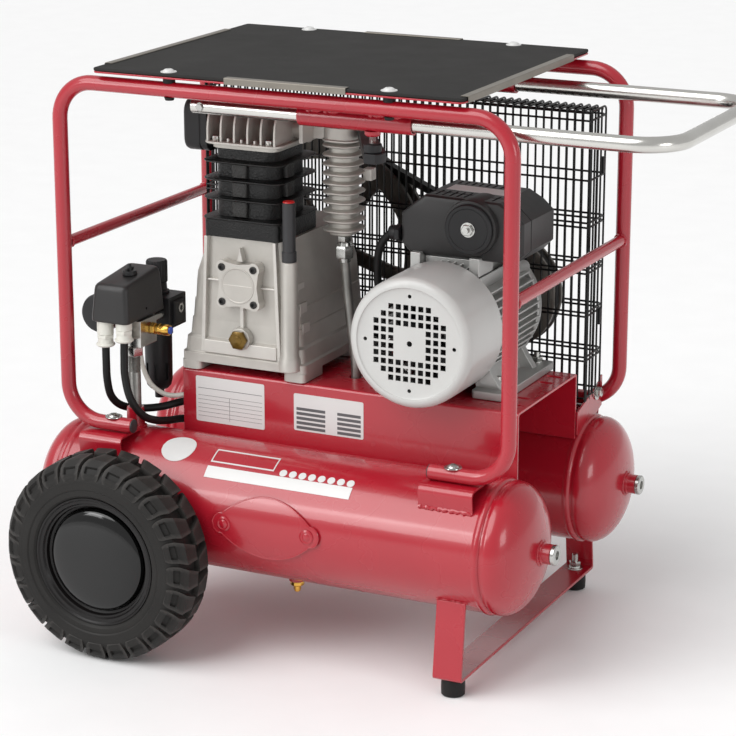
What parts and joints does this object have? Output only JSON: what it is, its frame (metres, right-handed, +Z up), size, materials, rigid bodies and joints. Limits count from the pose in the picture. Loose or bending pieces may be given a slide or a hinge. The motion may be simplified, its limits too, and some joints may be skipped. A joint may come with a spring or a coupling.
{
  "type": "portable air compressor",
  "caption": "Portable belt-driven piston air compressor in a tube cage, on side-by-side long tanks with wheels, a foot bar, a sliding pull handle, a wire belt guard and a flat roof tray.",
  "frame": {"origin": "centre of the footprint box at ground level", "axes": "+X towards the pull handle and the feet, +Y towards the belt guard, +Z up"},
  "size_m": [0.8006, 0.581, 0.692],
  "materials": {
    "red_enamel": "glossy crimson enamel",
    "black_wire": "satin black powder coat",
    "grey_enamel": "smooth light grey enamel",
    "cast_alloy": "bead-blasted die casting",
    "black_iron": "black painted sand casting",
    "bare_steel": "bright zinc plated",
    "handle_metal": "satin plated tube",
    "brass": "turned brass",
    "black_plastic": "moulded, fine grain",
    "wheel_plastic": "moulded black plastic",
    "black_rubber": "moulded rubber",
    "mat_rubber": "fine grained mat",
    "tyre_rubber": "solid tyre tread",
    "white_plastic": "translucent tube",
    "needle_paint": "red lacquer"
  },
  "bodies": {
    "chassis": {"front_tank": "red_enamel", "rear_tank": "red_enamel", "platform": "red_enamel", "front_cage_tube": "red_enamel", "rear_cage_tube": "red_enamel", "left_cross_tube": "red_enamel", "right_cross_tube": "red_enamel", "front_left_cage_bracket": "red_enamel", "front_right_cage_bracket": "red_enamel", "rear_left_cage_bracket": "red_enamel", "rear_right_cage_bracket": "red_enamel", "leg_strap": "red_enamel", "front_wheel_axle": "red_enamel", "rear_wheel_axle": "red_enamel", "roof_sheet": "red_enamel", "front_handle_guide": "red_enamel", "rear_handle_guide": "red_enamel", "safety_valve": "brass", "front_foot": "black_rubber", "rear_foot": "black_rubber", "roof_mat": "mat_rubber", "front_guard_grille": "black_wire", "rear_guard_basket": "black_wire", "switch_manifold": "bare_steel", "delivery_pipe": "bare_steel", "pressure_switch_cover": "black_plastic", "pressure_gauge": "black_plastic", "regulator_body": "black_plastic", "filter_bowl": "black_plastic", "breather_tube": "black_plastic", "intake_filter": "black_plastic", "terminal_box": "black_plastic", "power_cable": "black_rubber", "motor_cable": "black_rubber", "v_belt": "black_rubber", "unloader_tube": "white_plastic", "crankcase": "cast_alloy", "bearing_cover": "cast_alloy", "cylinder_head": "cast_alloy", "aftercooler": "cast_alloy", "cylinder_block": "black_iron", "motor_housing": "grey_enamel", "fan_cover": "grey_enamel"},
    "front_wheel": {"front_tyre": "tyre_rubber", "front_rim": "wheel_plastic"},
    "rear_wheel": {"rear_tyre": "tyre_rubber", "rear_rim": "wheel_plastic"},
    "pull_handle": {"handle": "handle_metal"},
    "front_drain": {"front_drain_screw": "brass"},
    "rear_drain": {"rear_drain_screw": "brass"},
    "switch_knob": {"pressure_switch_knob": "black_plastic"},
    "regulator_dial": {"regulator_knob": "black_plastic"},
    "needle": {"gauge_needle": "needle_paint"},
    "crank": {"crankshaft": "bare_steel", "flywheel": "black_iron"},
    "rotor": {"motor_rotor": "bare_steel", "cooling_fan": "black_plastic", "motor_pulley": "black_iron"},
    "piston_and_rod": {"piston": "cast_alloy", "connecting_rod": "bare_steel"}
  },
  "joints": [
    {"name": "front_wheel_spin", "type": "hinge", "parent": "chassis", "child": "front_wheel", "pos_m": [-0.2583, -0.2555, 0.125], "axis": [0, 1, 0], "continuous": true},
    {"name": "rear_wheel_spin", "type": "hinge", "parent": "chassis", "child": "rear_wheel", "pos_m": [-0.2583, 0.2555, 0.125], "axis": [0, 1, 0], "continuous": true},
    {"name": "handle_slide", "type": "slide", "parent": "chassis", "child": "pull_handle", "axis": [1, 0, 0], "range_m": [-0.145, 0.12]},
    {"name": "front_drain_turn", "type": "hinge", "parent": "chassis", "child": "front_drain", "pos_m": [-0.066, -0.138, 0.0794], "axis": [0, 0, 1], "range_deg": [0, 360]},
    {"name": "rear_drain_turn", "type": "hinge", "parent": "chassis", "child": "rear_drain", "pos_m": [-0.066, 0.138, 0.0794], "axis": [0, 0, 1], "range_deg": [0, 360]},
    {"name": "switch_knob_turn", "type": "hinge", "parent": "chassis", "child": "switch_knob", "pos_m": [-0.2967, -0.125, 0.4444], "axis": [0, 0, 1], "range_deg": [0, 90]},
    {"name": "regulator_turn", "type": "hinge", "parent": "chassis", "child": "regulator_dial", "pos_m": [-0.2997, -0.056, 0.4194], "axis": [0, 0, 1], "range_deg": [-360, 360]},
    {"name": "gauge_needle_turn", "type": "hinge", "parent": "chassis", "child": "needle", "pos_m": [-0.3737, -0.065, 0.3624], "axis": [0, 1, 0], "range_deg": [0, 270]},
    {"name": "crank_spin", "type": "hinge", "parent": "chassis", "child": "crank", "pos_m": [-0.1612, 0, 0.4274], "axis": [0, 1, 0], "continuous": true},
    {"name": "rotor_spin", "type": "hinge", "parent": "chassis", "child": "rotor", "pos_m": [0.0803, 0, 0.3944], "axis": [0, 1, 0], "continuous": true},
    {"name": "piston_slide", "type": "slide", "parent": "chassis", "child": "piston_and_rod", "axis": [0, 0, 1], "range_m": [0, 0.046]}
  ],
  "couplings": [
    {"joint": "rotor_spin", "follows": "crank_spin", "ratio": 2}
  ]
}
